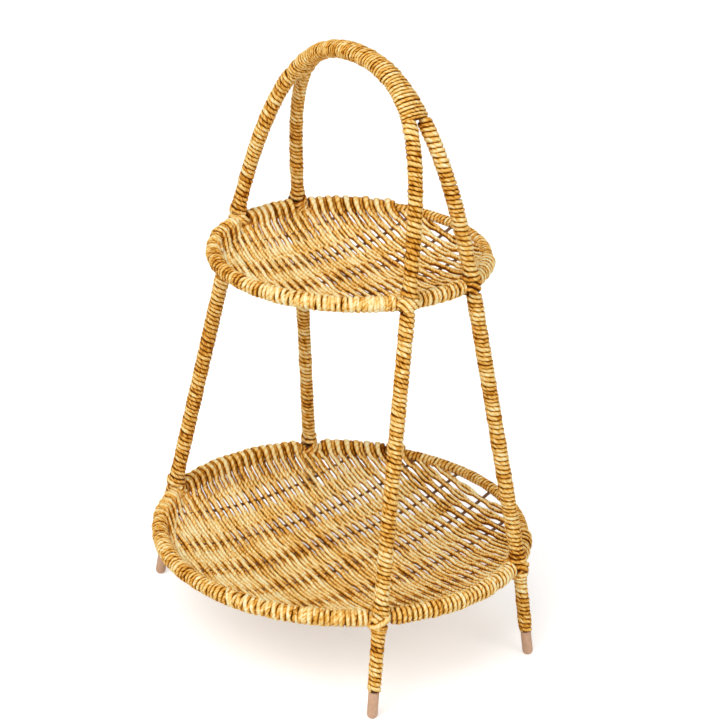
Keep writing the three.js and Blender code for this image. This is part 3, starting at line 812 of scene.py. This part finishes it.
def lashingCord(tray, leg, strand, rng):
    lean, offset, radius, lift = strand
    place = jointPoint(tray, leg)
    along = unit(legSlope(leg))
    outward = unit(np.array([place[0], place[1], 0.0]))
    outward = unit(outward - along * outward.dot(along))
    across = np.cross(along, outward)
    slant = math.radians(lean)
    grade = across * math.cos(slant) + along * math.sin(slant)
    beside = -across * math.sin(slant) + along * math.cos(slant)
    turn = np.linspace(1.5 * np.pi, 3.5 * np.pi, lashing["steps"] + 1)
    out = (lashing["reachOut"] + lift) * np.cos(turn)
    bow = np.sign(np.sin(turn)) * np.abs(np.sin(turn)) ** lashing["flatness"]
    wide = (lashing["reachAcross"] + lift) * bow
    centres = (place - outward * lashing["hug"] + beside * offset
               + outward * out[:, None] + grade * wide[:, None])
    normals = unit(outward * (np.cos(turn) / lashing["reachOut"])[:, None]
                   + grade * (np.sin(turn) / lashing["reachAcross"])[:, None])
    size = radius * (1 + lashing["sizeJitter"] * rng.uniform(-1, 1))
    across = np.broadcast_to(beside, centres.shape)
    return cordOf(centres, across, normals, size, size * lashing["squash"], rng.uniform(0, 1))


for tray, strands in lashingStrands.items():
    for index, (leg, turns) in enumerate(strands.items()):
        rng = random.Random(lashing["firstSeed"] + index)
        cords = [lashingCord(tray, leg, strand, rng) for strand in turns]
        rollCords(tray + "Lashing" + titleOf(leg), cords, lashing["sides"], straw,
                  [tray + "_lashing_" + leg])
print("joints lashed")


# Wires keep their frame shapes, with a dull bronze coat
def wireMaterial(look):
    material, tree, shader = newMaterial(look["name"])
    coordinates = tree.nodes.new("ShaderNodeTexCoord")
    stain = noiseNode(tree, coordinates.outputs["Object"], look["stainScale"], look["stainDetail"],
                      look["stainRoughness"])
    tree.links.new(rampNode(tree, stain, look["colours"]), shader.inputs["Base Color"])
    smoothest = look["roughness"] - look["roughRange"] / 2
    rough = mathNode(tree, "MULTIPLY_ADD", stain, look["roughRange"], smoothest)
    tree.links.new(rough, shader.inputs["Roughness"])
    shader.inputs["Metallic"].default_value = look["metallic"]
    bump = tree.nodes.new("ShaderNodeBump")
    bump.inputs["Strength"].default_value = look["bumpStrength"]
    bump.inputs["Distance"].default_value = look["bumpDistance"] * mm
    tree.links.new(stain, bump.inputs["Height"])
    tree.links.new(bump.outputs["Normal"], shader.inputs["Normal"])
    return material


wireLook = {
    "name": "coatedWire",
    "stainScale": 900.0,
    "stainDetail": 4,
    "stainRoughness": 0.6,
    "colours": ((0.3, (0.09, 0.038, 0.012)), (0.7, (0.2, 0.09, 0.03))),
    "roughness": 0.5,
    "roughRange": 0.3,
    "metallic": 0.3,
    "bumpStrength": 0.3,
    "bumpDistance": 0.05,
}
coatedWire = wireMaterial(wireLook)

capLook = {
    **wireLook,
    "name": "softCap",
    "stainScale": 400.0,
    "colours": ((0.3, (0.56, 0.33, 0.2)), (0.7, (0.66, 0.41, 0.27))),
    "roughness": 0.6,
    "metallic": 0.0,
    "bumpDistance": 0.03,
}
softCap = wireMaterial(capLook)

for name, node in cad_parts.items():
    if "wire" in name:
        node.data.materials.clear()
        node.data.materials.append(coatedWire)

# Stakes: thin cross wires that follow the dish, and show as dark dots between the cords
stake = {
    "radius": 0.95,
    "drop": 0.2,  # below the dish that the cords lie on
    "sides": 10,
    "rings": 50,
    "places": {"lower": (-74.0, -44.4, -14.8, 14.8, 44.4, 74.0), "upper": (-56.5, -28.25, 0.0, 28.25, 56.5)},
}
for tray, places in stake["places"].items():
    for number, x in enumerate(places, 1):
        half = math.sqrt(basket[tray]["ringRadius"] ** 2 - x ** 2)
        y = np.linspace(-half, half, stake["rings"])
        height = dishHeight(tray, np.hypot(x, y)) - stake["drop"]
        route = makeRoute(np.column_stack([np.full(len(y), x), y, height]), (0, 0, 1))
        cord = cordOf(route["points"], route["up"], route["side"], stake["radius"], stake["radius"])
        rollCords("%sStake%d" % (tray, number), [cord], stake["sides"], coatedWire,
                  ["%s_stake_%d" % (tray, number)])
print("wires coated, stakes laid")


# Foot caps: round-nosed tubes on the wires' ends, flat where they stand
footCap = {
    "radius": 3.0,
    "length": 15.0,
    "bore": 1.95,
    "boreFloor": 7.5,
    "rounding": 0.5,
    "noseSteps": 8,
    "sides": 32,
    "flat": 0.6,  # how much of the nose the floor takes off
}


def footCapShape(leg):
    radius, length, rounding = footCap["radius"], footCap["length"], footCap["rounding"]
    outline = []
    for step in range(footCap["noseSteps"] + 1):
        angle = step / footCap["noseSteps"] * math.pi / 2
        outline.append((radius * math.sin(angle), radius * (1 - math.cos(angle)) - footCap["flat"]))
    outline += [(radius, footCap["boreFloor"]), (radius, length - rounding), (radius - rounding, length)]
    outline += [(footCap["bore"], length), (footCap["bore"], footCap["boreFloor"])]
    shape = bmesh.new()
    verts = [shape.verts.new((x * mm, 0, z * mm)) for x, z in outline]
    edges = [shape.edges.new(pair) for pair in zip(verts, verts[1:])]
    bmesh.ops.spin(shape, geom=verts + edges, axis=(0, 0, 1), cent=(0, 0, 0), angle=2 * math.pi,
                   steps=footCap["sides"], use_merge=True)
    bmesh.ops.remove_doubles(shape, verts=shape.verts, dist=1e-6)
    bmesh.ops.holes_fill(shape, edges=[edge for edge in shape.edges if edge.is_boundary], sides=0)
    turned = Vector((0, 0, 1)).rotation_difference(Vector(legSlope(leg, below=True))).to_matrix().to_4x4()
    placed = Matrix.Translation(Vector(legPoint(leg, 0)) * mm) @ turned
    bmesh.ops.transform(shape, matrix=placed, verts=shape.verts)
    parts = list(shape.verts) + list(shape.edges) + list(shape.faces)
    bmesh.ops.bisect_plane(shape, geom=parts, plane_co=(0, 0, 0), plane_no=(0, 0, 1), clear_inner=True)
    bmesh.ops.holes_fill(shape, edges=[edge for edge in shape.edges if edge.is_boundary], sides=0)
    bmesh.ops.recalc_face_normals(shape, faces=shape.faces)
    return shape


for leg in legs:
    finishPiece("footCap" + titleOf(leg), footCapShape(leg), softCap, ["foot_cap_" + leg])
print("feet capped")


# Floor, light and camera. The studio's lengths are in metres
studio = {
    "floorSize": 6.0,
    "floorRoughness": 0.9,
    "floorColour": (0.9, 0.9, 0.9),
    "floorGlow": 0.46,
    "fillStrength": 0.34,
    "lampAim": 0.15,  # the height that the lamps point at
    "lamps": (
        # azimuth from the camera, height angle, distance, size, power
        (-35.0, 49.0, 3.0, 2.4, 59.0),
        (45.0, 31.0, 3.5, 2.5, 29.0),
        (170.0, 70.0, 3.5, 4.0, 14.0),
    ),
}

photoCamera = {
    "azimuth": 50.12,
    "elevation": 23.93,
    "distance": 1380.4,
    "aim": (7.18, 162.04),  # to the camera's right, and up
    "roll": 1.92,
    "lens": 123.02,
    "sensor": 36.0,
    "farthest": 20.0,  # metres
}


def cameraMatrix(sizes):
    turn, rise, roll = (math.radians(sizes[key]) for key in ("azimuth", "elevation", "roll"))
    right = Vector((math.cos(turn), math.sin(turn), 0))
    level = Vector((math.sin(turn), -math.cos(turn), 0))
    back = level * math.cos(rise) + Vector((0, 0, math.sin(rise)))
    upward = back.cross(right)
    aim = right * sizes["aim"][0] + Vector((0, 0, sizes["aim"][1]))
    place = (aim + back * sizes["distance"]) * mm
    rolledRight = right * math.cos(roll) + upward * math.sin(roll)
    rolledUp = upward * math.cos(roll) - right * math.sin(roll)
    turned = Matrix((rolledRight, rolledUp, back)).transposed().to_4x4()
    return Matrix.Translation(place) @ turned


cameraData = bpy.data.cameras.new("photoCamera")
cameraData.lens = photoCamera["lens"]
cameraData.sensor_width = photoCamera["sensor"]
cameraData.clip_end = photoCamera["farthest"]
camera = bpy.data.objects.new("photoCamera", cameraData)
bpy.context.scene.collection.objects.link(camera)
camera.matrix_world = cameraMatrix(photoCamera)
bpy.context.scene.camera = camera

for number, (azimuth, height, distance, size, power) in enumerate(studio["lamps"]):
    lampData = bpy.data.lights.new("softLamp%d" % number, "AREA")
    lampData.shape = "DISK"
    lampData.size = size
    lampData.energy = power
    lamp = bpy.data.objects.new("softLamp%d" % number, lampData)
    bpy.context.scene.collection.objects.link(lamp)
    turn = math.radians(photoCamera["azimuth"] + azimuth)
    rise = math.radians(height)
    level = Vector((math.sin(turn), -math.cos(turn), 0))
    aim = Vector((0, 0, studio["lampAim"]))
    lamp.location = aim + (level * math.cos(rise) + Vector((0, 0, math.sin(rise)))) * distance
    lamp.rotation_euler = (lamp.location - aim).to_track_quat("Z", "Y").to_euler()


# 1 for what the camera sees straight, in metal or through glass, and 0 for the light on the object
def seenDirectly(tree):
    path = tree.nodes.new("ShaderNodeLightPath")
    seen = mathNode(tree, "MAXIMUM", path.outputs["Is Camera Ray"], path.outputs["Is Glossy Ray"])
    return mathNode(tree, "MAXIMUM", seen, path.outputs["Is Transmission Ray"])


world = bpy.data.worlds.new("paleStudio")
world.use_nodes = True
bpy.context.scene.world = world
background = world.node_tree.nodes["Background"]
background.inputs["Color"].default_value = (1, 1, 1, 1)
strength = mathNode(world.node_tree, "MULTIPLY_ADD", seenDirectly(world.node_tree),
                    1.0 - studio["fillStrength"], studio["fillStrength"])
world.node_tree.links.new(strength, background.inputs["Strength"])

floorShape = bmesh.new()
bmesh.ops.create_grid(floorShape, x_segments=1, y_segments=1, size=studio["floorSize"] / 2)
floorMesh = bpy.data.meshes.new("paleFloor")
floorShape.to_mesh(floorMesh)
floorShape.free()
floor = bpy.data.objects.new("paleFloor", floorMesh)
bpy.context.scene.collection.objects.link(floor)
floorMaterial, floorTree, floorShader = newMaterial("paleFloor")
floorShader.inputs["Base Color"].default_value = (*studio["floorColour"], 1)
floorShader.inputs["Roughness"].default_value = studio["floorRoughness"]
floorShader.inputs["Specular IOR Level"].default_value = 0.0
floorShader.inputs["Emission Color"].default_value = (1, 1, 1, 1)
glow = mathNode(floorTree, "MULTIPLY", seenDirectly(floorTree), studio["floorGlow"])
floorTree.links.new(glow, floorShader.inputs["Emission Strength"])
floorMesh.materials.append(floorMaterial)

bpy.context.scene.view_settings.view_transform = "Standard"
print("floor, light and camera placed")
